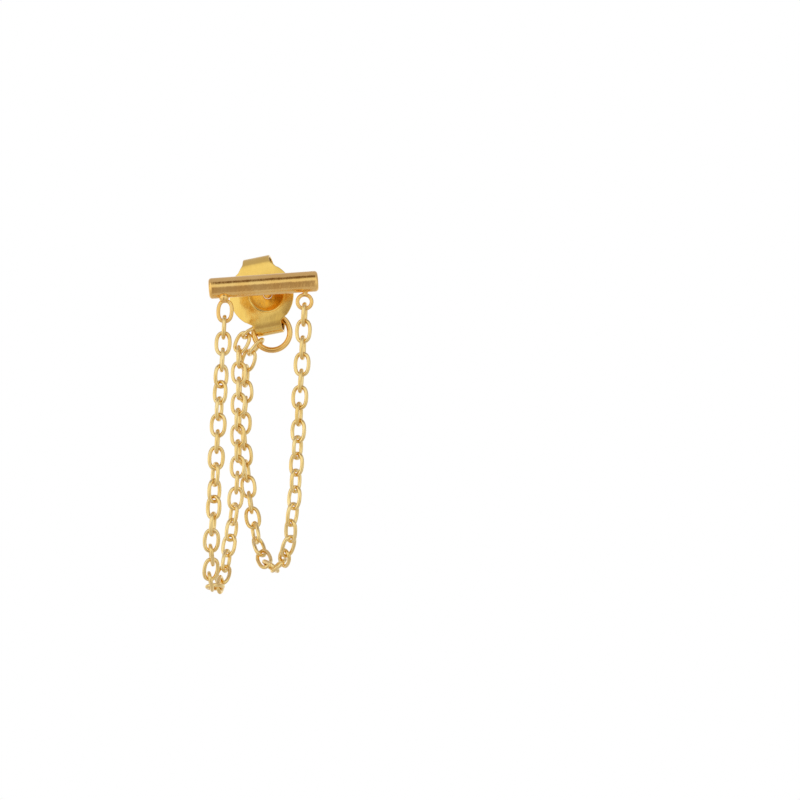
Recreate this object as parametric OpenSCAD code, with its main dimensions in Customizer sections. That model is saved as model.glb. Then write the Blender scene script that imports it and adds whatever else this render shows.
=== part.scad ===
// Chain earring: a bar stud with an ear nut, a jump ring and two chain loops that join the bar to the ring.
// The origin is on the post's axis, in the middle of the gap for the ear lobe. X runs to the right along the
// bar, Y from the bar at the front to the nut at the back, and Z up along the hanging chains.

/* [Bar] */
// Length of the round bar over both ends
bar_length = 9.85; // [9.2:0.05:11]
// Diameter of the bar
bar_d = 1.86; // [1.6:0.01:1.9]
// Radius of the rounded edge at each end of the bar
bar_edge_r = 0.2; // [0.1:0.05:0.4]
// Turn of the bar about the post, right end up
bar_tilt = 7.6; // [6:0.1:8]

/* [Post] */
// Diameter of the ear post
post_d = 0.8; // [0.7:0.05:0.9]
// Length of the post behind the bar
post_length = 9.5; // [8.5:0.25:11]
// Distance of the post from the middle of the bar, to the right
post_shift = 0.4; // [0.3:0.05:0.5]
// Gap for the ear lobe, from the back of the bar to the nut's plate
lobe_gap = 5; // [4.9:0.1:5.1]

/* [Soldered ring and link] */
// Outer diameter of the small ring under the bar's right end
end_ring_d = 1.62; // [1.5:0.02:1.64]
// Wire of the small ring
end_ring_wire = 0.34; // [0.3:0.02:0.36]
// Distance of the small ring's centre from the middle of the bar, to the right
end_ring_x = 3.76; // [3.7:0.02:3.8]
// Distance of the left link's centre from the middle of the bar, to the left
left_link_x = 3.3; // [3.26:0.02:3.34]

/* [Ear nut] */
// Diameter of the nut's round plate
plate_d = 6.05; // [5.6:0.05:6.3]
// Distance of the plate's centre from the post's hole, to the left
plate_shift = 0.47; // [0.4:0.01:0.5]
// Thickness of the nut's sheet
sheet = 0.22; // [0.18:0.01:0.24]
// Height of the nut over both rolls
nut_height = 7.4; // [7.3:0.05:7.5]
// Width of the tabs where they leave the plate
tab_root_w = 3; // [2.7:0.05:3.05]
// Width of the tabs at the top and bottom of the rolls
tab_end_w = 2.45; // [2.3:0.01:2.5]
// Outer radius of the rolls
roll_r = 1.33; // [1.28:0.01:1.36]
// Outer radius of the curled end inside each roll
curl_r = 0.9; // [0.85:0.01:0.95]
// Depth of the dimple round the post
dimple_depth = 0.9; // [0.8:0.05:1]
// Radius of the dimple's rim
dimple_r = 1.65; // [1.6:0.05:1.75]
// Diameter of the hole for the post
post_hole_d = 1.1; // [1.05:0.01:1.15]
// Turn of the nut about the post
nut_turn = 13.8; // [12:0.2:15]
// Lean of the nut on the post, right side towards the bar
nut_lean = 10; // [8:0.5:11]

/* [Jump ring] */
// Mean diameter of the jump ring
jump_ring_d = 3.36; // [3.32:0.02:3.4]
// Wire of the jump ring
jump_ring_wire = 0.54; // [0.5:0.01:0.56]

/* [Chains] */
// Outer length of a chain link
link_length = 2.27; // [2.26:0.01:2.29]
// Outer width of a chain link
link_width = 1.55; // [1.45:0.01:1.58]
// Wire of a chain link
link_wire = 0.3; // [0.27:0.01:0.3]
// Links in the left chain
left_links = 36; // [36:1:36]
// Links in the right chain
right_links = 33; // [33:1:33]

/* [Hidden] */

GOLD = [0.86, 0.68, 0.36];
PALE_GOLD = [0.9, 0.74, 0.42];
FINE = 96;
COARSE = 48;
// Overlap that makes two shapes of one piece meet
MEET = 0.02;

// Places along the post
bar_y = -lobe_gap / 2 - bar_d / 2;
plate_y = lobe_gap / 2;
ring_place = [0.98, plate_y + roll_r, -3.46];

// Heights of what is soldered under the bar
end_ring_z = -1.3;
left_link_z = -2.58;
left_link_length = 2.2;
left_link_wire = 0.32;
ring_solder_r = 0.16;
link_solder_r = 0.24;
// The left link's solder sits a little towards the bar's end
solder_shift = 0.12;
// How far the solder reaches down, to the middle of the wire that it holds
end_ring_reach = -end_ring_z - end_ring_d / 2 + end_ring_wire / 2;
left_link_reach = -left_link_z - left_link_length / 2 + left_link_wire / 2 - bar_d / 2;

// Half outlines of a link's wire centre line, and how square its oval is
link_half_length = (link_length - link_wire) / 2;
link_half_width = (link_width - link_wire) / 2;
OVAL = 2.5;
LINK_STEPS = 14;
WIRE_SIDES = 6;

// The two chains' routes: places along the hanging chain from the bar to the jump ring, in millimetres, with X
// from the middle of the bar, and the turn of the links about the chain there, in degrees. Rows lie closer where
// a chain bends more. The last row lies past the jump ring's wire.
X = 0;
Y = 1;
Z = 2;
TURN = 3;
LEFT_ROUTE = [
    [-3.30, -3.43, -3.30, 0],
    [-3.30, -3.43, -6.90, 5],
    [-3.30, -3.43, -8.40, 35],
    [-3.30, -3.43, -11.30, 70],
    [-3.30, -3.43, -15.65, 95],
    [-3.30, -3.43, -18.50, 130],
    [-3.25, -3.43, -21.35, 165],
    [-3.30, -3.00, -24.05, 190],
    [-3.15, -2.10, -25.10, 195],
    [-3.30, -1.55, -26.85, 195],
    [-3.00, -0.30, -27.25, 190],
    [-2.30, 1.00, -27.30, 195],
    [-2.30, 2.05, -26.65, 195],
    [-2.10, 2.70, -25.65, 205],
    [-1.90, 3.15, -24.05, 205],
    [-1.60, 3.40, -20.90, 240],
    [-1.45, 3.40, -17.95, 270],
    [-1.50, 3.40, -15.00, 285],
    [-1.70, 3.40, -12.05, 285],
    [-1.75, 3.40, -9.15, 280],
    [-1.85, 3.50, -7.65, 275],
    [-1.90, 3.60, -6.55, 275],
    [-1.75, 3.80, -4.25, 290],
    [-1.35, 3.75, -3.80, 280],
    [-0.25, 3.90, -3.15, 290],
];
RIGHT_ROUTE = [
    [3.80, -3.43, -1.70, 170],
    [3.80, -3.43, -4.00, 165],
    [3.85, -3.43, -7.05, 170],
    [3.80, -3.43, -10.05, 170],
    [3.85, -3.43, -13.00, 150],
    [3.85, -3.43, -15.95, 145],
    [3.85, -3.43, -18.85, 140],
    [3.65, -3.25, -21.60, 135],
    [3.65, -2.65, -23.05, 125],
    [3.25, -1.95, -24.40, 125],
    [3.00, -0.60, -24.90, 145],
    [2.20, 0.40, -25.40, 140],
    [1.70, 1.35, -25.00, 125],
    [1.10, 2.40, -23.95, 135],
    [0.65, 3.15, -22.65, 155],
    [0.25, 3.75, -21.15, 180],
    [-0.35, 4.45, -18.20, 190],
    [-0.85, 4.65, -15.10, 200],
    [-1.20, 4.65, -12.10, 180],
    [-1.10, 4.70, -9.20, 195],
    [-1.30, 4.70, -7.85, 200],
    [-1.20, 4.50, -6.60, 190],
    [-0.85, 4.20, -5.45, 225],
    [0.00, 3.75, -4.35, 170],
];

// Distances of a route's rows from its first row
function row_distances(route) = [
    for (i = 0, far = 0; i < len(route); i = i + 1, far = far + row_gap(route, i)) far
];
function row_gap(route, i) = i < len(route) ? norm(route_place(route[i]) - route_place(route[i - 1])) : 0;
function route_place(row) = [row[X], row[Y], row[Z]];

// Change of a row's values with the distance, on both sides of the row
function row_slope(route, far, i) =
    let (before = max(i - 1, 0), after = min(i + 1, len(route) - 1))
    let (gap_before = far[i] - far[before], gap_after = far[after] - far[i])
    i == before ? (route[after] - route[i]) / gap_after
    : i == after ? (route[i] - route[before]) / gap_before
    : ((route[after] - route[i]) * gap_before / gap_after + (route[i] - route[before]) * gap_after / gap_before)
        / (gap_before + gap_after);

// The route's values at a distance, on a smooth curve through its rows
function route_at(route, far, distance) =
    let (i = min(len([for (row_far = far) if (row_far <= distance) 1]), len(route) - 1) - 1)
    let (gap = far[i + 1] - far[i], t = (distance - far[i]) / gap)
    route[i] * (2 * pow(t, 3) - 3 * pow(t, 2) + 1)
    + row_slope(route, far, i) * gap * (pow(t, 3) - 2 * pow(t, 2) + t)
    + route[i + 1] * (3 * pow(t, 2) - 2 * pow(t, 3))
    + row_slope(route, far, i + 1) * gap * (pow(t, 3) - pow(t, 2));

function unit(v) = v / norm(v);

// A point of the link's wire centre line, in its own plane, as [along, across]
function oval_point(angle) = [
    link_half_length * sign(cos(angle)) * pow(abs(cos(angle)), 2 / OVAL),
    link_half_width * sign(sin(angle)) * pow(abs(sin(angle)), 2 / OVAL)
];
function oval_outward(angle) =
    let (along = oval_point(angle + 360 / LINK_STEPS) - oval_point(angle - 360 / LINK_STEPS))
    unit([along[1], -along[0]]);

// One link: an oval loop of wire about its place, along one direction and flat towards another
module link(place, along, across) {
    normal = cross(along, across);
    points = [
        for (step = [0:LINK_STEPS - 1], side = [0:WIRE_SIDES - 1])
            let (angle = step * 360 / LINK_STEPS, around = (side + 0.5) * 360 / WIRE_SIDES)
            let (flat_point = oval_point(angle) + oval_outward(angle) * cos(around) * link_wire / 2)
            place + along * flat_point[0] + across * flat_point[1] + normal * sin(around) * link_wire / 2
    ];
    faces = [
        for (step = [0:LINK_STEPS - 1], side = [0:WIRE_SIDES - 1])
            let (next_step = (step + 1) % LINK_STEPS, next_side = (side + 1) % WIRE_SIDES)
            [
                step * WIRE_SIDES + side,
                step * WIRE_SIDES + next_side,
                next_step * WIRE_SIDES + next_side,
                next_step * WIRE_SIDES + side
            ]
    ];
    polyhedron(points, faces);
}

// A chain along a route: each link turned a quarter from the one before
module chain(route, count) {
    far = row_distances(route);
    pitch = far[len(far) - 1] / count;
    for (i = [1:count]) {
        start = route_place(route_at(route, far, (i - 1) * pitch));
        end = route_place(route_at(route, far, i * pitch));
        turn = route_at(route, far, (i - 0.5) * pitch)[TURN] + i * 90;
        along = unit(end - start);
        right = unit([1, 0, 0] - along * along[0]);
        back = cross(right, along);
        link((start + end) / 2, along, right * cos(turn) + back * sin(turn));
    }
}

// A round ring of wire, flat in the XZ plane, about the origin
module wire_ring(mean_d, wire) {
    rotate([90, 0, 0])
        rotate_extrude($fn = FINE)
            translate([mean_d / 2, 0])
                circle(d = wire, $fn = COARSE);
}

// A short neck of solder from a place in the bar down to what hangs there
module solder_neck(place, depth, r) {
    translate(place - [0, 0, depth])
        cylinder(r = r, h = depth, $fn = COARSE);
}

// The bar along X: a straight round body, flat ends and a rounded edge at each end
module round_bar() {
    straight = bar_length - 2 * bar_edge_r;
    flat_d = bar_d - 2 * bar_edge_r;
    rotate([0, 90, 0]) {
        cylinder(d = bar_d, h = straight, center = true, $fn = FINE);
        cylinder(d = flat_d, h = bar_length, center = true, $fn = FINE);
        for (side = [-1, 1])
            translate([0, 0, side * straight / 2])
                rotate_extrude($fn = FINE)
                    translate([flat_d / 2, 0])
                        circle(r = bar_edge_r, $fn = COARSE);
    }
}

module ear_post() {
    straight = post_length + bar_d / 2 - post_d / 2;
    rotate([-90, 0, 0])
        cylinder(d = post_d, h = straight, $fn = FINE);
    translate([0, straight, 0])
        sphere(d = post_d, $fn = FINE);
}

// The first link of the left chain, soldered: two round bends and two straight sides
module left_link() {
    bend_d = link_width - left_link_wire;
    straight = left_link_length - link_width;
    for (side = [-1, 1]) {
        translate([side * bend_d / 2, 0, 0])
            cylinder(d = left_link_wire, h = straight, center = true, $fn = COARSE);
        translate([0, 0, side * straight / 2])
            rotate([90, side > 0 ? 0 : 180, 0])
                rotate_extrude(angle = 180, $fn = FINE)
                    translate([bend_d / 2, 0])
                        circle(d = left_link_wire, $fn = COARSE);
    }
}

module bar_stud() {
    color(PALE_GOLD) {
        translate([0, bar_y, 0])
            ear_post();
        translate([-post_shift, bar_y, 0]) {
            rotate([0, -bar_tilt, 0])
                round_bar();
            translate([end_ring_x, 0, end_ring_z])
                wire_ring(end_ring_d - end_ring_wire, end_ring_wire);
            translate([-left_link_x, 0, left_link_z])
                left_link();
            solder_neck([end_ring_x, 0, 0], end_ring_reach, ring_solder_r);
            solder_neck([-left_link_x - solder_shift, 0, -bar_d / 2], left_link_reach, link_solder_r);
        }
    }
}

// Side outline of the nut's upper roll, as X away from the post and Y to the back: the tab's bend round the
// outside, the flat strip down the back and the curled end
module roll_outline() {
    roll_x = nut_height / 2 - roll_r;
    curl_x = roll_x - curl_r;
    back = 2 * roll_r;
    intersection() {
        ring_outline([roll_x, roll_r], roll_r);
        translate([roll_x, 0])
            square([roll_r, back]);
    }
    intersection() {
        ring_outline([curl_x, back - curl_r], curl_r);
        translate([curl_x - curl_r, back - 2 * curl_r])
            square([curl_r, 2 * curl_r]);
    }
    translate([curl_x, back - sheet])
        square([curl_r + MEET, sheet]);
}

module ring_outline(centre, r) {
    translate(centre)
        difference() {
            circle(r = r, $fn = FINE);
            circle(r = r - sheet, $fn = FINE);
        }
}

// Front outline of the nut's tabs, wide at the plate and narrower at the rolls
module tab_outline() {
    reach = nut_height / 2;
    polygon([
        [-tab_end_w / 2, -reach],
        [tab_end_w / 2, -reach],
        [tab_root_w / 2, 0],
        [tab_end_w / 2, reach],
        [-tab_end_w / 2, reach],
        [-tab_root_w / 2, 0]
    ]);
}

module tab_prism() {
    rotate([90, 0, 0])
        linear_extrude(height = 6 * roll_r, center = true)
            tab_outline();
}

module nut_plate() {
    roll_x = nut_height / 2 - roll_r;
    intersection() {
        tab_prism();
        translate([-tab_root_w / 2, 0, -roll_x - MEET])
            cube([tab_root_w, sheet, 2 * roll_x + 2 * MEET]);
    }
    rotate([-90, 0, 0])
        cylinder(d = plate_d, h = sheet, $fn = FINE);
}

module rolls() {
    intersection() {
        tab_prism();
        for (side = [0, 1])
            mirror([0, 0, side])
                rotate([0, -90, 0])
                    linear_extrude(height = tab_root_w, center = true)
                        roll_outline();
    }
}

// The dimple behind the plate: a cap of a hollow ball
module dimple() {
    inner_r = (pow(dimple_r, 2) + pow(dimple_depth, 2)) / (2 * dimple_depth);
    intersection() {
        translate([0, dimple_depth - inner_r, 0])
            difference() {
                sphere(r = inner_r + sheet, $fn = FINE);
                sphere(r = inner_r, $fn = FINE);
            }
        rotate([-90, 0, 0])
            cylinder(r = 2 * dimple_r, h = 2 * inner_r, $fn = FINE);
    }
}

// The whole nut, about its post hole. The plate's opening is a little wider than the dimple's rim, so that the
// dimple's wall fills it.
module nut() {
    difference() {
        union() {
            difference() {
                translate([-plate_shift, 0, 0])
                    nut_plate();
                rotate([-90, 0, 0])
                    cylinder(r = dimple_r + MEET, h = 3 * sheet, center = true, $fn = FINE);
            }
            translate([-plate_shift, 0, 0])
                rolls();
            dimple();
        }
        rotate([-90, 0, 0])
            cylinder(d = post_hole_d, h = 2 * dimple_depth, $fn = FINE);
    }
}

module clutch() {
    color(GOLD)
        translate([0, plate_y + dimple_depth - plate_shift * sin(nut_lean), 0])
            rotate([0, -nut_turn, 0])
                rotate([0, 0, -nut_lean])
                    translate([0, -dimple_depth, 0])
                        nut();
}

module jump_ring() {
    color(PALE_GOLD)
        translate(ring_place - [post_shift, 0, 0])
            wire_ring(jump_ring_d, jump_ring_wire);
}

module chain_left() {
    color(GOLD)
        translate([-post_shift, 0, 0])
            chain(LEFT_ROUTE, left_links);
}

module chain_right() {
    color(GOLD)
        translate([-post_shift, 0, 0])
            chain(RIGHT_ROUTE, right_links);
}

bar_stud();
clutch();
jump_ring();
chain_left();
chain_right();
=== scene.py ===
"""Looks of a chain bar earring: a polished gold bar stud, its ear nut and jump ring, and two fine cable chains.

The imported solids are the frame. Every piece is modelled over its solid, in metres, with Z up along the hanging
chains and Y along the ear post, from the bar at the front to the nut at the back.
"""

import math

import bmesh
import bpy
import numpy as np
from mathutils import Matrix, Quaternion, Vector


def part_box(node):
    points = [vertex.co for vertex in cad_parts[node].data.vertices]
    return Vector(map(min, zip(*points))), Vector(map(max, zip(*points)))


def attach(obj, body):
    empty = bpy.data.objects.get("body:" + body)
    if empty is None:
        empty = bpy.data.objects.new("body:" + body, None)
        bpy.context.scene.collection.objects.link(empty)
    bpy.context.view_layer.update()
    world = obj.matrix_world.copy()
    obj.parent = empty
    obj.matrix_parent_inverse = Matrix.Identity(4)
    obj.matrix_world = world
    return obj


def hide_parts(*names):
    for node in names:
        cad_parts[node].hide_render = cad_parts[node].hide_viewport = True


bl_info = {
    "name": "Chain bar earring",
    "version": (1, 0, 0),
    "blender": (4, 5, 0),
    "location": "3D View > Sidebar > Earring",
    "description": "Models the pieces of a chain bar earring over its solids",
    "category": "Add Mesh",
}

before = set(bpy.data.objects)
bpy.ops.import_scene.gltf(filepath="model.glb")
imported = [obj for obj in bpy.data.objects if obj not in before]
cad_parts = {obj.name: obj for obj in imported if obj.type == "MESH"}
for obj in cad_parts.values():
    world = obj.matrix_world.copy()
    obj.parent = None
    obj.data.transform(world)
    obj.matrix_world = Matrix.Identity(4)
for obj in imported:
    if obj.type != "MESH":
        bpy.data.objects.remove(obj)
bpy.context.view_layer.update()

MM = 0.001
BODY = "root"

# Sides of a round bar, of a post and of a wire, and steps round a ring, an edge, the post's tip, the dish, a roll
# and its curled end
ROUND_SIDES = 96
POST_SIDES = 48
WIRE_SIDES = 20
RING_STEPS = 96
EDGE_STEPS = 8
TIP_STEPS = 9
DISH_STEPS = 10
ROLL_STEPS = 24
CURL_STEPS = 18

# Places that the solids give
stud_low, stud_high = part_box("bar_stud")
ring_low, ring_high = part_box("jump_ring")
POST_TIP = stud_high.y
RING_CENTRE = (ring_low + ring_high) / 2
RING_WIRE = ring_high.y - ring_low.y
RING_DIAMETER = ring_high.x - ring_low.x - RING_WIRE

# Linear colours of the studio tent by the height above the front's horizon in degrees, from straight behind and
# below (-180), through the front (0) and overhead (90), to straight behind and above (180)
WHITE_CLOTH = (1.05, 1.03, 1.01)
FRONT_PANEL = (0.88, 0.88, 0.87)
GREY_CLOTH = (0.58, 0.54, 0.62)
TABLE = (0.45, 0.37, 0.35)
DARK_GAP = (0.17, 0.1, 0.05)
MIDDLE_SHADES = (
    (-180, WHITE_CLOTH),
    (-145, (0.58, 0.52, 0.54)),
    (-105, (0.78, 0.74, 0.8)),
    (-80, (0.7, 0.66, 0.7)),
    (-62, TABLE),
    (-12, (0.4, 0.33, 0.3)),
    (0, TABLE),
    (9, FRONT_PANEL),
    (29, FRONT_PANEL),
    (44, DARK_GAP),
    (60, DARK_GAP),
    (72, GREY_CLOTH),
    (130, GREY_CLOTH),
    (180, WHITE_CLOTH),
)
SIDE_SHADES = (
    (-180, WHITE_CLOTH),
    (-110, (0.7, 0.65, 0.62)),
    (-60, (0.75, 0.7, 0.65)),
    (-15, WHITE_CLOTH),
    (48, WHITE_CLOTH),
    (68, GREY_CLOTH),
    (130, GREY_CLOTH),
    (180, WHITE_CLOTH),
)

# The nut's plate is this far behind the lobe gap's middle, and the bar as far before it
PLATE_FRONT = 2.5 * MM

# Places of the small ring and of the link under the bar, as (X, Z) from the post's axis in millimetres
END_RING_PLACE = (3.36, -1.3)
END_LINK_PLACE = (-3.7, -2.58)
END_LINK_LENGTH = 2.2 * MM

# Outlines of the solder, as (Z, radius) pairs from bottom to top in millimetres: a foot that widens on the bar's
# underside at the right, and a drop that climbs the bar's lower front at the left
RIGHT_SOLDER = ((-0.76, 0.1), (-0.68, 0.2), (-0.56, 0.19), (-0.46, 0.24), (-0.38, 0.36), (-0.2, 0.4))
LEFT_SOLDER = (
    (-1.78, 0.2),
    (-1.7, 0.32),
    (-1.58, 0.4),
    (-1.45, 0.44),
    (-1.3, 0.42),
    (-1.15, 0.34),
    (-1.0, 0.2),
)
LEFT_SOLDER_X = -3.86 * MM
LEFT_SOLDER_FORWARD = 0.36 * MM

# The dish's share of the dimple's radius, inside the rounded rim; the rings of the nut's face outside the rim, as
# (distance past it, depth) pairs in millimetres; and the (radius, depth) of the ring before the plate's edge, which
# lies inside the bend lines of the tabs
DISH_SHARE = 0.97
RIM_ROUNDING = ((0.02, 0.025), (0.08, 0.004), (0.14, 0))
FACE_RING = (2.2, 0.015)

# Size of the square paper floor and its height under the post
FLOOR_SIZE = 84 * MM
FLOOR_HEIGHT = -80 * MM


def length(name, description, millimetres):
    """A length property with its default in millimetres."""
    return bpy.props.FloatProperty(
        name=name,
        description=description,
        default=millimetres * MM,
        min=0,
        precision=5,
        unit="LENGTH",
    )


def angle(name, description, degrees):
    """An angle property with its default in degrees."""
    return bpy.props.FloatProperty(
        name=name,
        description=description,
        default=math.radians(degrees),
        subtype="ANGLE",
    )


def linear(hex_colour):
    """An sRGB hex colour such as F2C879 as the linear colour that shaders take."""
    levels = [int(hex_colour[i : i + 2], 16) / 255 for i in (0, 2, 4)]
    return [c / 12.92 if c <= 0.04045 else ((c + 0.055) / 1.055) ** 2.4 for c in levels]


def colour(name, description, hex_colour):
    """A colour property with its default as an sRGB hex value."""
    return bpy.props.FloatVectorProperty(
        name=name,
        description=description,
        default=linear(hex_colour),
        subtype="COLOR",
        size=3,
        min=0,
        max=1,
    )


class StudSizes(bpy.types.PropertyGroup):
    bar_length: length("Bar length", "Length of the round bar over both ends", 9.85)
    bar_diameter: length("Bar diameter", "Diameter of the round bar", 1.86)
    bar_edge: length("Bar edge", "Radius of the rounded edge at each end", 0.28)
    bar_dome: length("End dome", "Height of the slight dome on each end", 0.03)
    bar_tilt: angle("Bar tilt", "Turn of the bar, right end up", 7.6)
    post_shift: length("Post shift", "Distance of the post from the bar's middle, to the right", 0.4)
    post_diameter: length("Post diameter", "Diameter of the ear post", 0.8)
    end_ring_diameter: length("End ring", "Outer diameter of the ring under the right end", 1.62)
    end_ring_wire: length("End ring wire", "Wire of the ring under the right end", 0.35)


class NutSizes(bpy.types.PropertyGroup):
    plate_diameter: length("Plate", "Diameter of the nut's round plate", 6.05)
    plate_shift: length("Plate shift", "Distance of the plate's centre from the post, to the left", 0.47)
    plate_dome: length("Plate dome", "Height of the plate's slight dome", 0.06)
    sheet: length("Sheet", "Thickness of the nut's sheet", 0.22)
    height: length("Height", "Height of the nut over both rolls", 7.4)
    tab_root: length("Tab root", "Width of the tabs at the middle of the plate", 3.3)
    tab_end: length("Tab end", "Width of the tabs at the outside of the rolls", 2.55)
    flank_slope: bpy.props.FloatProperty(
        name="Flank slope",
        description="Narrowing of the upper tab's flank for its height",
        default=0.75,
    )
    roll_radius: length("Roll", "Outer radius of the rolls", 1.33)
    curl_radius: length("Curl", "Outer radius of the curled end in each roll", 0.9)
    dimple_depth: length("Dimple depth", "Depth of the dimple round the post", 0.9)
    dimple_radius: length("Dimple rim", "Radius of the dimple's rim", 1.65)
    post_hole: length("Post hole", "Diameter of the hole for the post", 0.82)
    turn: angle("Turn", "Turn of the nut about the post", 13.8)
    lean: angle("Lean", "Lean of the nut on the post, right side towards the bar", 10)


class ChainSizes(bpy.types.PropertyGroup):
    link_length: length("Link length", "Outer length of a link", 2.27)
    link_width: length("Link width", "Outer width of a link", 1.55)
    link_wire: length("Link wire", "Thickness of a link's wire", 0.35)


class GoldColours(bpy.types.PropertyGroup):
    bright: colour("Gold", "Colour of the polished bar and ring", "F8D384")
    rich: colour("Rich gold", "Their gold where it is a little redder", "F4C672")
    nut_bright: colour("Nut gold", "Colour of the nut's sheet gold", "F5D376")
    nut_rich: colour("Rich nut gold", "The sheet gold where it is a little redder", "F0CA69")
    # Both chain golds are paler than the bar's gold, which paints the thin wires' sheen into their colour; the
    # redder one marks random patches
    chain_pale_sheen: colour("Chain gold", "Colour of the tumbled links", "FCE4A2")
    chain_redder_pale_sheen: colour("Rich chain gold", "The links' gold where it is a little redder", "F4D384")
    floor: colour("Floor", "Colour of the paper floor", "FCFAF6")


def deselect():
    """Leaves nothing selected, so that an operator acts on the new piece alone."""
    bpy.ops.object.select_all(action="DESELECT")


def edit(piece):
    """Selects one piece alone and opens its mesh."""
    deselect()
    piece.select_set(True)
    bpy.context.view_layer.objects.active = piece
    bpy.ops.object.mode_set(mode="EDIT")


def select_points(piece, chosen):
    """Selects the open mesh's points whose place passes a test, with the edges and faces between them."""
    bpy.ops.mesh.select_mode(type="VERT")
    bpy.ops.mesh.select_all(action="DESELECT")
    mesh = bmesh.from_edit_mesh(piece.data)
    for point in mesh.verts:
        point.select_set(chosen(point.co))
    mesh.select_flush(True)
    bmesh.update_edit_mesh(piece.data)


def close_mesh(piece):
    """Merges doubled points of the open mesh, turns its faces outwards and leaves edit mode."""
    bpy.ops.mesh.select_all(action="SELECT")
    bpy.ops.mesh.remove_doubles(threshold=0.0005 * MM)
    bpy.ops.mesh.normals_make_consistent(inside=False)
    bpy.ops.object.mode_set(mode="OBJECT")
    return piece


def turned(name, outline, sides=ROUND_SIDES):
    """A closed round piece about Z, from the (height, radius) pairs of its outline from bottom to top."""
    deselect()
    height, radius = outline[0]
    bpy.ops.mesh.primitive_circle_add(vertices=sides, radius=radius, location=(0, 0, height))
    piece = bpy.context.object
    piece.name = name
    bpy.ops.object.transform_apply(location=True, rotation=True, scale=True)
    bpy.ops.object.mode_set(mode="EDIT")
    bpy.ops.mesh.select_all(action="SELECT")
    bpy.ops.mesh.edge_face_add()
    for next_height, next_radius in outline[1:]:
        bpy.ops.mesh.extrude_region_move(
            TRANSFORM_OT_translate={"value": (0, 0, next_height - height)}
        )
        scale = next_radius / radius
        bpy.ops.transform.resize(value=(scale, scale, 1), center_override=(0, 0, next_height))
        height, radius = next_height, next_radius
    return close_mesh(piece)


def spun_ring(name, centre, diameter, wire):
    """A closed ring of round wire about an axis along Y, with its mean diameter."""
    deselect()
    bpy.ops.mesh.primitive_circle_add(
        vertices=WIRE_SIDES, radius=wire / 2, location=centre + Vector((diameter / 2, 0, 0))
    )
    piece = bpy.context.object
    piece.name = name
    bpy.ops.object.transform_apply(location=True, rotation=True, scale=True)
    bpy.ops.object.mode_set(mode="EDIT")
    bpy.ops.mesh.select_all(action="SELECT")
    bpy.ops.mesh.spin(steps=RING_STEPS, angle=2 * math.pi, center=centre, axis=(0, 1, 0))
    return close_mesh(piece)


def oval_link(name, long, wide, wire):
    """A closed oval of round wire in the XZ plane, long in Z, from its outer length and width."""
    deselect()
    bpy.ops.curve.primitive_bezier_circle_add(radius=1)
    piece = bpy.context.object
    piece.name = name
    half_wide = (wide - wire) / 2
    half_long = (long - wire) / 2
    # A circle's handles reach 0.552 of its radius. Longer ones give the link its fuller shoulders.
    reach = 0.66
    for knot in piece.data.splines[0].bezier_points:
        knot.handle_left_type = "FREE"
        knot.handle_right_type = "FREE"
    for knot in piece.data.splines[0].bezier_points:
        x, y, _ = knot.co
        knot.co = (x * half_wide, 0, y * half_long)
        knot.handle_right = ((x + y * reach) * half_wide, 0, (y - x * reach) * half_long)
        knot.handle_left = ((x - y * reach) * half_wide, 0, (y + x * reach) * half_long)
    piece.data.dimensions = "3D"
    piece.data.resolution_u = 12
    piece.data.bevel_depth = wire / 2
    piece.data.bevel_resolution = 4
    bpy.ops.object.convert(target="MESH")
    piece = bpy.context.object
    edit(piece)
    return close_mesh(piece)


def place(piece, matrix):
    """Moves a piece's mesh by a matrix and leaves its object at the origin."""
    deselect()
    piece.select_set(True)
    bpy.context.view_layer.objects.active = piece
    piece.matrix_world = matrix
    bpy.ops.object.transform_apply(location=True, rotation=True, scale=True)


def join(name, pieces):
    """Joins pieces into one object."""
    deselect()
    for piece in pieces:
        piece.select_set(True)
    bpy.context.view_layer.objects.active = pieces[0]
    bpy.ops.object.join()
    joined = bpy.context.object
    joined.name = name
    return joined


def apply_modifier(piece, kind, **settings):
    """Adds a modifier with its settings and applies it."""
    deselect()
    piece.select_set(True)
    bpy.context.view_layer.objects.active = piece
    modifier = piece.modifiers.new(kind, kind)
    for key, value in settings.items():
        setattr(modifier, key, value)
    bpy.ops.object.modifier_apply(modifier=modifier.name)


def finish_piece(piece, node, material):
    """Smooths a piece, gives it its material and lets it stand for its solid."""
    deselect()
    piece.select_set(True)
    bpy.context.view_layer.objects.active = piece
    bpy.ops.object.shade_smooth_by_angle(angle=math.radians(40))
    piece.data.materials.clear()
    piece.data.materials.append(material)
    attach(piece, BODY)
    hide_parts(node)


def add_node(tree, kind, inputs=(), **settings):
    """Adds a node with its settings. Each input is its name or number with a value, or with a socket to link."""
    node = tree.nodes.new(kind)
    for key, value in settings.items():
        setattr(node, key, value)
    for key, value in inputs:
        if isinstance(value, bpy.types.NodeSocket):
            tree.links.new(value, node.inputs[key])
        else:
            node.inputs[key].default_value = value
    return node


def set_ramp(node, stops):
    """Gives a colour ramp its (position, linear colour) stops."""
    ramp = node.color_ramp
    while len(ramp.elements) < len(stops):
        ramp.elements.new(1)
    for element, (position, shade) in zip(ramp.elements, stops):
        element.position = position
        element.color = (*shade, 1)


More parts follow.
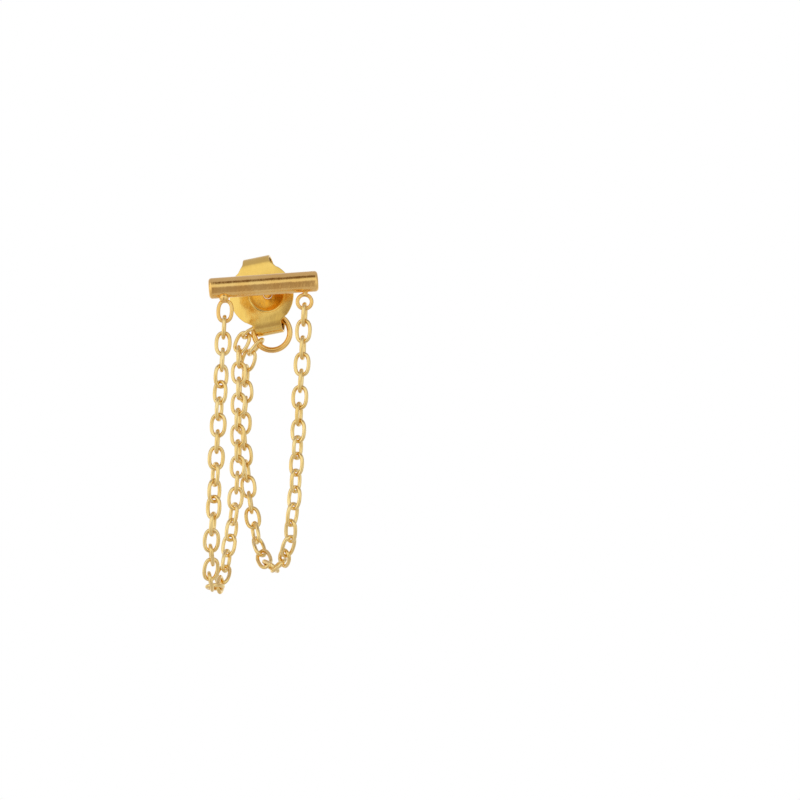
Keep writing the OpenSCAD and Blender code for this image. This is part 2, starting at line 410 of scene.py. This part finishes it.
def gold(name, shades, line_spacing, line_length, line_depth, turn, roughness):
    """Yellow gold with the fine marks of its polishing, which run across the piece's X axis after the turn.

    The shades are its brightest and its redder colour, the lines' spacing, length and depth are in metres, and the
    roughness is a (lowest, highest) pair.
    """
    material = bpy.data.materials.new(name)
    material.use_nodes = True
    tree = material.node_tree
    tree.nodes.clear()
    place_on_piece = add_node(tree, "ShaderNodeTexCoord").outputs["Object"]
    lined = add_node(
        tree,
        "ShaderNodeMapping",
        [
            ("Vector", place_on_piece),
            ("Rotation", (0, turn, 0)),
            ("Scale", (1 / line_spacing, 1 / line_length, 1 / line_length)),
        ],
    )
    lines = add_node(
        tree, "ShaderNodeTexNoise", [("Vector", lined.outputs[0]), ("Scale", 1.0), ("Detail", 2.0)]
    )
    # Soft dents of hand polishing, 0.9 mm apart, which make the reflections waver
    waves = add_node(
        tree,
        "ShaderNodeTexNoise",
        [("Vector", place_on_piece), ("Scale", 1 / (0.9 * MM)), ("Detail", 1.0)],
    )
    # Patches of slightly redder gold, about 2 mm wide
    patches = add_node(
        tree,
        "ShaderNodeTexNoise",
        [("Vector", place_on_piece), ("Scale", 1 / (2.0 * MM)), ("Detail", 2.0)],
    )
    tint = add_node(tree, "ShaderNodeValToRGB", [("Fac", patches.outputs["Fac"])])
    set_ramp(tint, [(0.35, shades[0]), (0.7, shades[1])])
    dull = add_node(
        tree,
        "ShaderNodeMapRange",
        [
            ("Value", lines.outputs["Fac"]),
            ("From Min", 0.3),
            ("From Max", 0.7),
            ("To Min", roughness[0]),
            ("To Max", roughness[1]),
        ],
    )
    wavy = add_node(
        tree,
        "ShaderNodeBump",
        [("Height", waves.outputs["Fac"]), ("Strength", 1.0), ("Distance", 0.012 * MM)],
    )
    bumps = add_node(
        tree,
        "ShaderNodeBump",
        [
            ("Height", lines.outputs["Fac"]),
            ("Strength", 1.0),
            ("Distance", line_depth),
            ("Normal", wavy.outputs["Normal"]),
        ],
    )
    surface = add_node(
        tree,
        "ShaderNodeBsdfPrincipled",
        [
            ("Base Color", tint.outputs["Color"]),
            ("Metallic", 1.0),
            ("Roughness", dull.outputs["Result"]),
            ("Normal", bumps.outputs["Normal"]),
        ],
    )
    add_node(tree, "ShaderNodeOutputMaterial", [("Surface", surface.outputs["BSDF"])])
    return material


class EARRING_OT_bar_stud(bpy.types.Operator):
    """Model the round bar with its post, end ring, end link and solder, one soldered piece of gold"""

    bl_idname = "earring.bar_stud"
    bl_label = "Bar stud"

    def execute(self, context):
        sizes = context.scene.stud_sizes
        chain = context.scene.chain_sizes
        radius = sizes.bar_diameter / 2
        bar_y = -PLATE_FRONT - radius
        half = sizes.bar_length / 2
        flat = radius - sizes.bar_edge

        # Half of the bar's outline, from its middle to the domed end
        outline = [(half * share, radius) for share in (0.0, 0.4, 0.8)]
        for step in range(EDGE_STEPS + 1):
            turn = math.pi / 2 * step / EDGE_STEPS
            outline.append(
                (
                    half - sizes.bar_dome - sizes.bar_edge * (1 - math.sin(turn)),
                    flat + sizes.bar_edge * math.cos(turn),
                )
            )
        for share in (0.75, 0.5, 0.25, 0.05):
            outline.append((half - sizes.bar_dome * share**2, flat * share))
        whole = [(-height, r) for height, r in reversed(outline[1:])] + outline
        bar = turned("bar", whole)
        along = Matrix.Rotation(-sizes.bar_tilt, 4, "Y") @ Matrix.Rotation(math.pi / 2, 4, "Y")
        place(bar, Matrix.Translation((-sizes.post_shift, bar_y, 0)) @ along)

        # The post ends in a half ball
        post_radius = sizes.post_diameter / 2
        shaft = POST_TIP - bar_y - post_radius
        tip = []
        for step in range(TIP_STEPS):
            turn = math.pi / 2 * step / TIP_STEPS
            tip.append((shaft + post_radius * math.sin(turn), post_radius * math.cos(turn)))
        post = turned("post", [(0, post_radius), (shaft / 2, post_radius), *tip], POST_SIDES)
        place(post, Matrix.Translation((0, bar_y, 0)) @ Matrix.Rotation(-math.pi / 2, 4, "X"))

        ring_x, ring_z = END_RING_PLACE
        end_ring = spun_ring(
            "end_ring",
            Vector((ring_x * MM, bar_y, ring_z * MM)),
            sizes.end_ring_diameter - sizes.end_ring_wire,
            sizes.end_ring_wire,
        )
        link_x, link_z = END_LINK_PLACE
        end_link = oval_link("end_link", END_LINK_LENGTH, chain.link_width, chain.link_wire)
        place(end_link, Matrix.Translation((link_x * MM, bar_y, link_z * MM)))
        solders = [
            self.solder("right_solder", RIGHT_SOLDER, ring_x * MM, bar_y),
            self.solder("left_solder", LEFT_SOLDER, LEFT_SOLDER_X, bar_y - LEFT_SOLDER_FORWARD),
        ]

        # Drawn round bar, polished across its length: short fine marks round it that fray the reflections' edges
        colours = context.scene.gold_colours
        bar_gold = gold(
            "drawn_polished_gold",
            (colours.bright, colours.rich),
            line_spacing=0.2 * MM,
            line_length=0.35 * MM,
            line_depth=0.015 * MM,
            turn=sizes.bar_tilt,
            roughness=(0.1, 0.2),
        )
        stud = join("bar_stud_gold", [bar, post, end_ring, end_link, *solders])
        finish_piece(stud, "bar_stud", bar_gold)
        return {"FINISHED"}

    def solder(self, name, outline, x, y):
        """A round drop of solder from its (Z, radius) pairs in millimetres."""
        drop = turned(name, [(height * MM, radius * MM) for height, radius in outline], POST_SIDES)
        place(drop, Matrix.Translation((x, y, 0)))
        return drop


class EARRING_OT_ear_nut(bpy.types.Operator):
    """Model the butterfly ear nut: a round plate with a dimple, and two tabs rolled round to the back"""

    bl_idname = "earring.ear_nut"
    bl_label = "Ear nut"

    def execute(self, context):
        sizes = context.scene.nut_sizes
        plate_radius = sizes.plate_diameter / 2
        bend_height = sizes.height / 2 - sizes.roll_radius
        ball = (sizes.dimple_radius**2 + sizes.dimple_depth**2) / (2 * sizes.dimple_depth)

        # Rings of the dished front face, from the post's hole outwards: (radius, depth behind the plate's front)
        hole = sizes.post_hole / 2
        rings = []
        for step in range(DISH_STEPS + 1):
            radius = hole + (sizes.dimple_radius * DISH_SHARE - hole) * step / DISH_STEPS
            rings.append((radius, sizes.dimple_depth - ball + math.sqrt(ball**2 - radius**2)))
        rings += [(sizes.dimple_radius + past * MM, depth * MM) for past, depth in RIM_ROUNDING]

        deselect()
        radius, depth = rings[0]
        bpy.ops.mesh.primitive_circle_add(
            vertices=ROUND_SIDES, radius=radius, location=(0, depth, 0), rotation=(math.pi / 2, 0, 0)
        )
        nut = bpy.context.object
        nut.name = "ear_nut"
        bpy.ops.object.transform_apply(location=True, rotation=True, scale=True)
        bpy.ops.object.mode_set(mode="EDIT")
        bpy.ops.mesh.select_all(action="SELECT")
        for next_radius, next_depth in rings[1:]:
            bpy.ops.mesh.extrude_region_move(
                TRANSFORM_OT_translate={"value": (0, next_depth - depth, 0)}
            )
            scale = next_radius / radius
            bpy.ops.transform.resize(value=(scale, 1, scale), center_override=(0, next_depth, 0))
            radius, depth = next_radius, next_depth

        # The round plate stands a little to the left of the dimple, and its face is slightly domed
        middle = Vector((0, depth, 0))
        face_ring = (FACE_RING[0] * MM, FACE_RING[1] * MM)
        for next_radius, next_depth in (face_ring, (plate_radius, sizes.plate_dome)):
            step = Vector((-sizes.plate_shift / 2, next_depth - depth, 0))
            middle += step
            bpy.ops.mesh.extrude_region_move(TRANSFORM_OT_translate={"value": step})
            scale = next_radius / radius
            bpy.ops.transform.resize(value=(scale, 1, scale), center_override=middle)
            radius, depth = next_radius, next_depth

        # The tabs start on a straight bend line across the plate
        outline = bmesh.from_edit_mesh(nut.data)
        for point in outline.verts:
            if abs(point.co.z) > bend_height:
                point.co = middle.lerp(point.co, bend_height / abs(point.co.z))
        bmesh.update_edit_mesh(nut.data)

        for side in (1, -1):
            select_points(nut, lambda co: abs(co.z - side * bend_height) < 1e-7)
            self.roll_tab(nut, sizes, side, bend_height, plate_radius)
        close_mesh(nut)
        apply_modifier(nut, "SOLIDIFY", thickness=sizes.sheet, offset=-1, use_even_offset=True)
        apply_modifier(
            nut,
            "BEVEL",
            width=0.05 * MM,
            segments=3,
            limit_method="ANGLE",
            angle_limit=math.radians(50),
        )
        behind = sizes.dimple_depth - sizes.plate_shift * math.sin(sizes.lean)
        stand = Matrix.Translation((0, PLATE_FRONT + behind, 0))
        stand @= Matrix.Rotation(-sizes.turn, 4, "Y") @ Matrix.Rotation(-sizes.lean, 4, "Z")
        place(nut, stand @ Matrix.Translation((0, -sizes.dimple_depth, 0)))

        # Sheet gold stamped and tumbled: broad soft marks, brighter and smoother than the bar
        colours = context.scene.gold_colours
        nut_gold = gold(
            "stamped_tumbled_gold",
            (colours.nut_bright, colours.nut_rich),
            line_spacing=0.2 * MM,
            line_length=0.5 * MM,
            line_depth=0.005 * MM,
            turn=sizes.turn,
            roughness=(0.12, 0.24),
        )
        finish_piece(nut, "clutch", nut_gold)
        return {"FINISHED"}

    def roll_tab(self, nut, sizes, side, bend_height, plate_radius):
        """Rolls the selected edge round the back, runs it down and curls its end, in the nut's own place."""
        taper = (sizes.tab_root - sizes.tab_end) / sizes.height
        curl_height = bend_height - sizes.curl_radius
        back = sizes.plate_dome + 2 * sizes.roll_radius

        def tab_half(height):
            return sizes.tab_root / 2 - taper * height

        plate_half = math.sqrt(plate_radius**2 - bend_height**2)
        half = plate_half
        for step in range(ROLL_STEPS):
            bpy.ops.mesh.spin(
                steps=1,
                angle=side * math.pi / ROLL_STEPS,
                center=(0, sizes.plate_dome + sizes.roll_radius, side * bend_height),
                axis=(1, 0, 0),
            )
            turn = math.pi * (step + 1) / ROLL_STEPS
            height = bend_height + sizes.roll_radius * math.sin(turn)
            wanted = tab_half(height)
            if turn < math.pi / 2 and height < plate_radius:
                wanted = max(wanted, math.sqrt(plate_radius**2 - height**2))
            if turn < math.pi / 2 and side > 0:
                # The upper tab leaves the plate with straight flanks
                wanted = max(wanted, plate_half - sizes.flank_slope * (height - bend_height))
            self.widen(wanted / half, sizes)
            half = wanted
        bpy.ops.mesh.extrude_region_move(
            TRANSFORM_OT_translate={"value": (0, 0, side * (curl_height - bend_height))}
        )
        self.widen(tab_half(curl_height) / half, sizes)
        half = tab_half(curl_height)
        for step in range(CURL_STEPS):
            bpy.ops.mesh.spin(
                steps=1,
                angle=side * math.pi / CURL_STEPS,
                center=(0, back - sizes.curl_radius, side * curl_height),
                axis=(1, 0, 0),
            )
            turn = math.pi * (step + 1) / CURL_STEPS
            wanted = tab_half(curl_height - sizes.curl_radius * math.sin(turn))
            self.widen(wanted / half, sizes)
            half = wanted

    def widen(self, scale, sizes):
        """Scales the selected row along X about the tab's middle."""
        bpy.ops.transform.resize(value=(scale, 1, 1), center_override=(-sizes.plate_shift, 0, 0))


class EARRING_OT_jump_ring(bpy.types.Operator):
    """Model the round jump ring that hangs in the nut's lower roll"""

    bl_idname = "earring.jump_ring"
    bl_label = "Jump ring"

    def execute(self, context):
        ring = spun_ring("jump_ring_wire", RING_CENTRE, RING_DIAMETER, RING_WIRE)
        # Bright wire, closed and tumbled: smooth with hair scratches
        colours = context.scene.gold_colours
        ring_gold = gold(
            "tumbled_wire_gold",
            (colours.bright, colours.rich),
            line_spacing=0.25 * MM,
            line_length=0.6 * MM,
            line_depth=0.004 * MM,
            turn=0,
            roughness=(0.1, 0.2),
        )
        finish_piece(ring, "jump_ring", ring_gold)
        return {"FINISHED"}


class EARRING_OT_chains(bpy.types.Operator):
    """Model one cable link and copy it to the place of every link of both chains"""

    bl_idname = "earring.chains"
    bl_label = "Chains"

    def execute(self, context):
        sizes = context.scene.chain_sizes
        # Machine-made links, soldered and tumbled: soft wire with little colour change, in a gold made paler than
        # the bar's as painted sheen
        colours = context.scene.gold_colours
        chain_gold = gold(
            "cable_chain_gold",
            (colours.chain_pale_sheen, colours.chain_redder_pale_sheen),
            line_spacing=0.3 * MM,
            line_length=0.5 * MM,
            line_depth=0.004 * MM,
            turn=0,
            roughness=(0.07, 0.15),
        )
        pattern = oval_link("link", sizes.link_length, sizes.link_width, sizes.link_wire)
        for node in ("chain_left", "chain_right"):
            links = []
            for matrix in self.link_places(node):
                deselect()
                pattern.select_set(True)
                context.view_layer.objects.active = pattern
                bpy.ops.object.duplicate(linked=False)
                link = context.object
                place(link, matrix)
                links.append(link)
            finish_piece(join(node + "_gold", links), node, chain_gold)
        bpy.data.objects.remove(pattern)
        return {"FINISHED"}

    def link_places(self, node):
        """Where a node's links are and how they lie, from the spread of each loose solid's points."""
        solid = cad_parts[node].copy()
        solid.data = solid.data.copy()
        bpy.context.collection.objects.link(solid)
        solid.hide_viewport = False
        edit(solid)
        bpy.ops.mesh.select_all(action="SELECT")
        bpy.ops.mesh.remove_doubles(threshold=0.001 * MM)
        bpy.ops.mesh.separate(type="LOOSE")
        bpy.ops.object.mode_set(mode="OBJECT")
        places = []
        for part in list(bpy.context.selected_objects):
            points = np.array([part.matrix_world @ point.co for point in part.data.vertices])
            centre = points.mean(axis=0)
            spread, directions = np.linalg.eigh(np.cov((points - centre).T))
            normal, across, along = (Vector(d) for d in directions.T)
            if across.cross(normal).dot(along) < 0:
                normal.negate()
            turn = Matrix((across, normal, along)).transposed()
            places.append(Matrix.Translation(centre) @ turn.to_4x4())
            bpy.data.objects.remove(part)
        return places


class EARRING_OT_stage(bpy.types.Operator):
    """Set the paper floor, the soft studio light and the camera at the photograph's angle"""

    bl_idname = "earring.stage"
    bl_label = "Stage"

    def execute(self, context):
        self.lay_floor(context.scene.gold_colours)
        self.light(context.scene)
        self.aim_camera(context.scene)
        return {"FINISHED"}

    def lay_floor(self, colours):
        """A sheet of pale paper under the hanging earring, below the camera's frame."""
        deselect()
        bpy.ops.mesh.primitive_plane_add(size=FLOOR_SIZE, location=(0, 0, FLOOR_HEIGHT))
        floor = bpy.context.object
        floor.name = "paper_floor"
        bpy.ops.object.transform_apply(location=True, rotation=True, scale=True)
        apply_modifier(floor, "SOLIDIFY", thickness=2 * MM, offset=-1)
        apply_modifier(floor, "BEVEL", width=0.8 * MM, segments=3)

        # Matt cotton paper: an even pale floor with a faint tooth
        material = bpy.data.materials.new("matt_paper")
        material.use_nodes = True
        tree = material.node_tree
        tree.nodes.clear()
        spot = add_node(tree, "ShaderNodeTexCoord").outputs["Object"]
        tooth = add_node(
            tree, "ShaderNodeTexNoise", [("Vector", spot), ("Scale", 1 / (1.5 * MM)), ("Detail", 3.0)]
        )
        relief = add_node(
            tree,
            "ShaderNodeBump",
            [("Height", tooth.outputs["Fac"]), ("Strength", 0.3), ("Distance", 0.05 * MM)],
        )
        paper = add_node(
            tree,
            "ShaderNodeBsdfPrincipled",
            [
                ("Base Color", (*colours.floor, 1)),
                ("Roughness", 0.9),
                ("Normal", relief.outputs["Normal"]),
            ],
        )
        add_node(tree, "ShaderNodeOutputMaterial", [("Surface", paper.outputs["BSDF"])])
        floor.data.materials.append(material)

    def light(self, scene):
        """A cloth tent round the earring: bright in front, dimmer overhead and at the far right, with a dark gap."""
        scene.view_settings.view_transform = "Standard"
        scene.view_settings.look = "None"
        world = bpy.data.worlds.new("studio_tent")
        scene.world = world
        world.use_nodes = True
        tree = world.node_tree
        tree.nodes.clear()
        way = add_node(tree, "ShaderNodeTexCoord").outputs["Generated"]
        parts = add_node(tree, "ShaderNodeSeparateXYZ", [("Vector", way)])
        forward = add_node(
            tree, "ShaderNodeMath", [(0, parts.outputs["Y"]), (1, -1.0)], operation="MULTIPLY"
        )
        height = add_node(
            tree,
            "ShaderNodeMath",
            [(0, parts.outputs["Z"]), (1, forward.outputs[0])],
            operation="ARCTAN2",
        )
        around = add_node(
            tree,
            "ShaderNodeMapRange",
            [("Value", height.outputs[0]), ("From Min", -math.pi), ("From Max", math.pi)],
        )
        # The bar in the middle sees the front panel, the dark gap above it and the dimmer table below it. The sides
        # are mostly white cloth.
        middle = add_node(tree, "ShaderNodeValToRGB", [("Fac", around.outputs["Result"])])
        set_ramp(middle, self.heights(MIDDLE_SHADES))
        side = add_node(tree, "ShaderNodeValToRGB", [("Fac", around.outputs["Result"])])
        set_ramp(side, self.heights(SIDE_SHADES))
        sideways = add_node(
            tree, "ShaderNodeMath", [(0, parts.outputs["X"])], operation="ABSOLUTE"
        )
        share = add_node(
            tree,
            "ShaderNodeMapRange",
            [("Value", sideways.outputs[0]), ("From Min", 0.12), ("From Max", 0.45)],
        )
        shades = add_node(
            tree,
            "ShaderNodeMix",
            [
                ("Factor", share.outputs["Result"]),
                ("A", middle.outputs["Color"]),
                ("B", side.outputs["Color"]),
            ],
            data_type="RGBA",
        )
        # The tent is dimmer at the far right, which shades the right side of each wire
        right = add_node(
            tree,
            "ShaderNodeMapRange",
            [
                ("Value", parts.outputs["X"]),
                ("From Min", 0.35),
                ("From Max", 0.85),
                ("To Min", 1.0),
                ("To Max", 0.75),
            ],
        )
        tent = add_node(
            tree,
            "ShaderNodeBackground",
            [("Color", shades.outputs["Result"]), ("Strength", right.outputs["Result"])],
        )
        paper = add_node(tree, "ShaderNodeBackground", [("Color", (1, 1, 1, 1)), ("Strength", 1.0)])
        direct = add_node(tree, "ShaderNodeLightPath").outputs["Is Camera Ray"]
        seen = add_node(
            tree,
            "ShaderNodeMixShader",
            [(0, direct), (1, tent.outputs["Background"]), (2, paper.outputs["Background"])],
        )
        add_node(tree, "ShaderNodeOutputWorld", [("Surface", seen.outputs["Shader"])])

    def heights(self, shades):
        """Ramp stops from (degrees, colour) pairs round the whole turn."""
        return [((degrees + 180) / 360, shade) for degrees, shade in shades]

    def aim_camera(self, scene):
        """The camera stands a little below the bar and to its right, and is rolled by 3 degrees."""
        standpoint = Vector((0.811, -163.36, -21.0)) * MM
        target = Vector((12.64, -0.2, -9.41)) * MM
        roll = math.radians(2.99)
        bpy.ops.object.camera_add(location=standpoint)
        camera = bpy.context.object
        camera.name = "camera"
        camera.rotation_mode = "QUATERNION"
        aim = (target - standpoint).to_track_quat("-Z", "Y")
        camera.rotation_quaternion = aim @ Quaternion((0, 0, 1), roll)
        camera.data.lens = 80.464
        camera.data.sensor_width = 36
        camera.data.clip_start = 10 * MM
        camera.data.clip_end = 10
        scene.camera = camera


class EARRING_PT_pieces(bpy.types.Panel):
    """Lists the earring's pieces in the sidebar"""

    bl_label = "Chain bar earring"
    bl_idname = "EARRING_PT_pieces"
    bl_space_type = "VIEW_3D"
    bl_region_type = "UI"
    bl_category = "Earring"

    def draw(self, context):
        for step in STEPS:
            self.layout.operator(step.bl_idname)
        for group in ("stud_sizes", "nut_sizes", "chain_sizes", "gold_colours"):
            values = getattr(context.scene, group)
            box = self.layout.box()
            for key in values.bl_rna.properties.keys():
                if key not in ("name", "rna_type"):
                    box.prop(values, key)


STEPS = (
    EARRING_OT_bar_stud,
    EARRING_OT_ear_nut,
    EARRING_OT_jump_ring,
    EARRING_OT_chains,
    EARRING_OT_stage,
)
GROUPS = {
    "stud_sizes": StudSizes,
    "nut_sizes": NutSizes,
    "chain_sizes": ChainSizes,
    "gold_colours": GoldColours,
}


def register():
    for group in (*GROUPS.values(), *STEPS, EARRING_PT_pieces):
        bpy.utils.register_class(group)
    for name, group in GROUPS.items():
        setattr(bpy.types.Scene, name, bpy.props.PointerProperty(type=group))


def unregister():
    for name in GROUPS:
        delattr(bpy.types.Scene, name)
    for group in reversed((*GROUPS.values(), *STEPS, EARRING_PT_pieces)):
        bpy.utils.unregister_class(group)


def main():
    register()
    bpy.ops.earring.bar_stud()
    bpy.ops.earring.ear_nut()
    bpy.ops.earring.jump_ring()
    bpy.ops.earring.chains()
    bpy.ops.earring.stage()


if __name__ == "__main__":
    main()
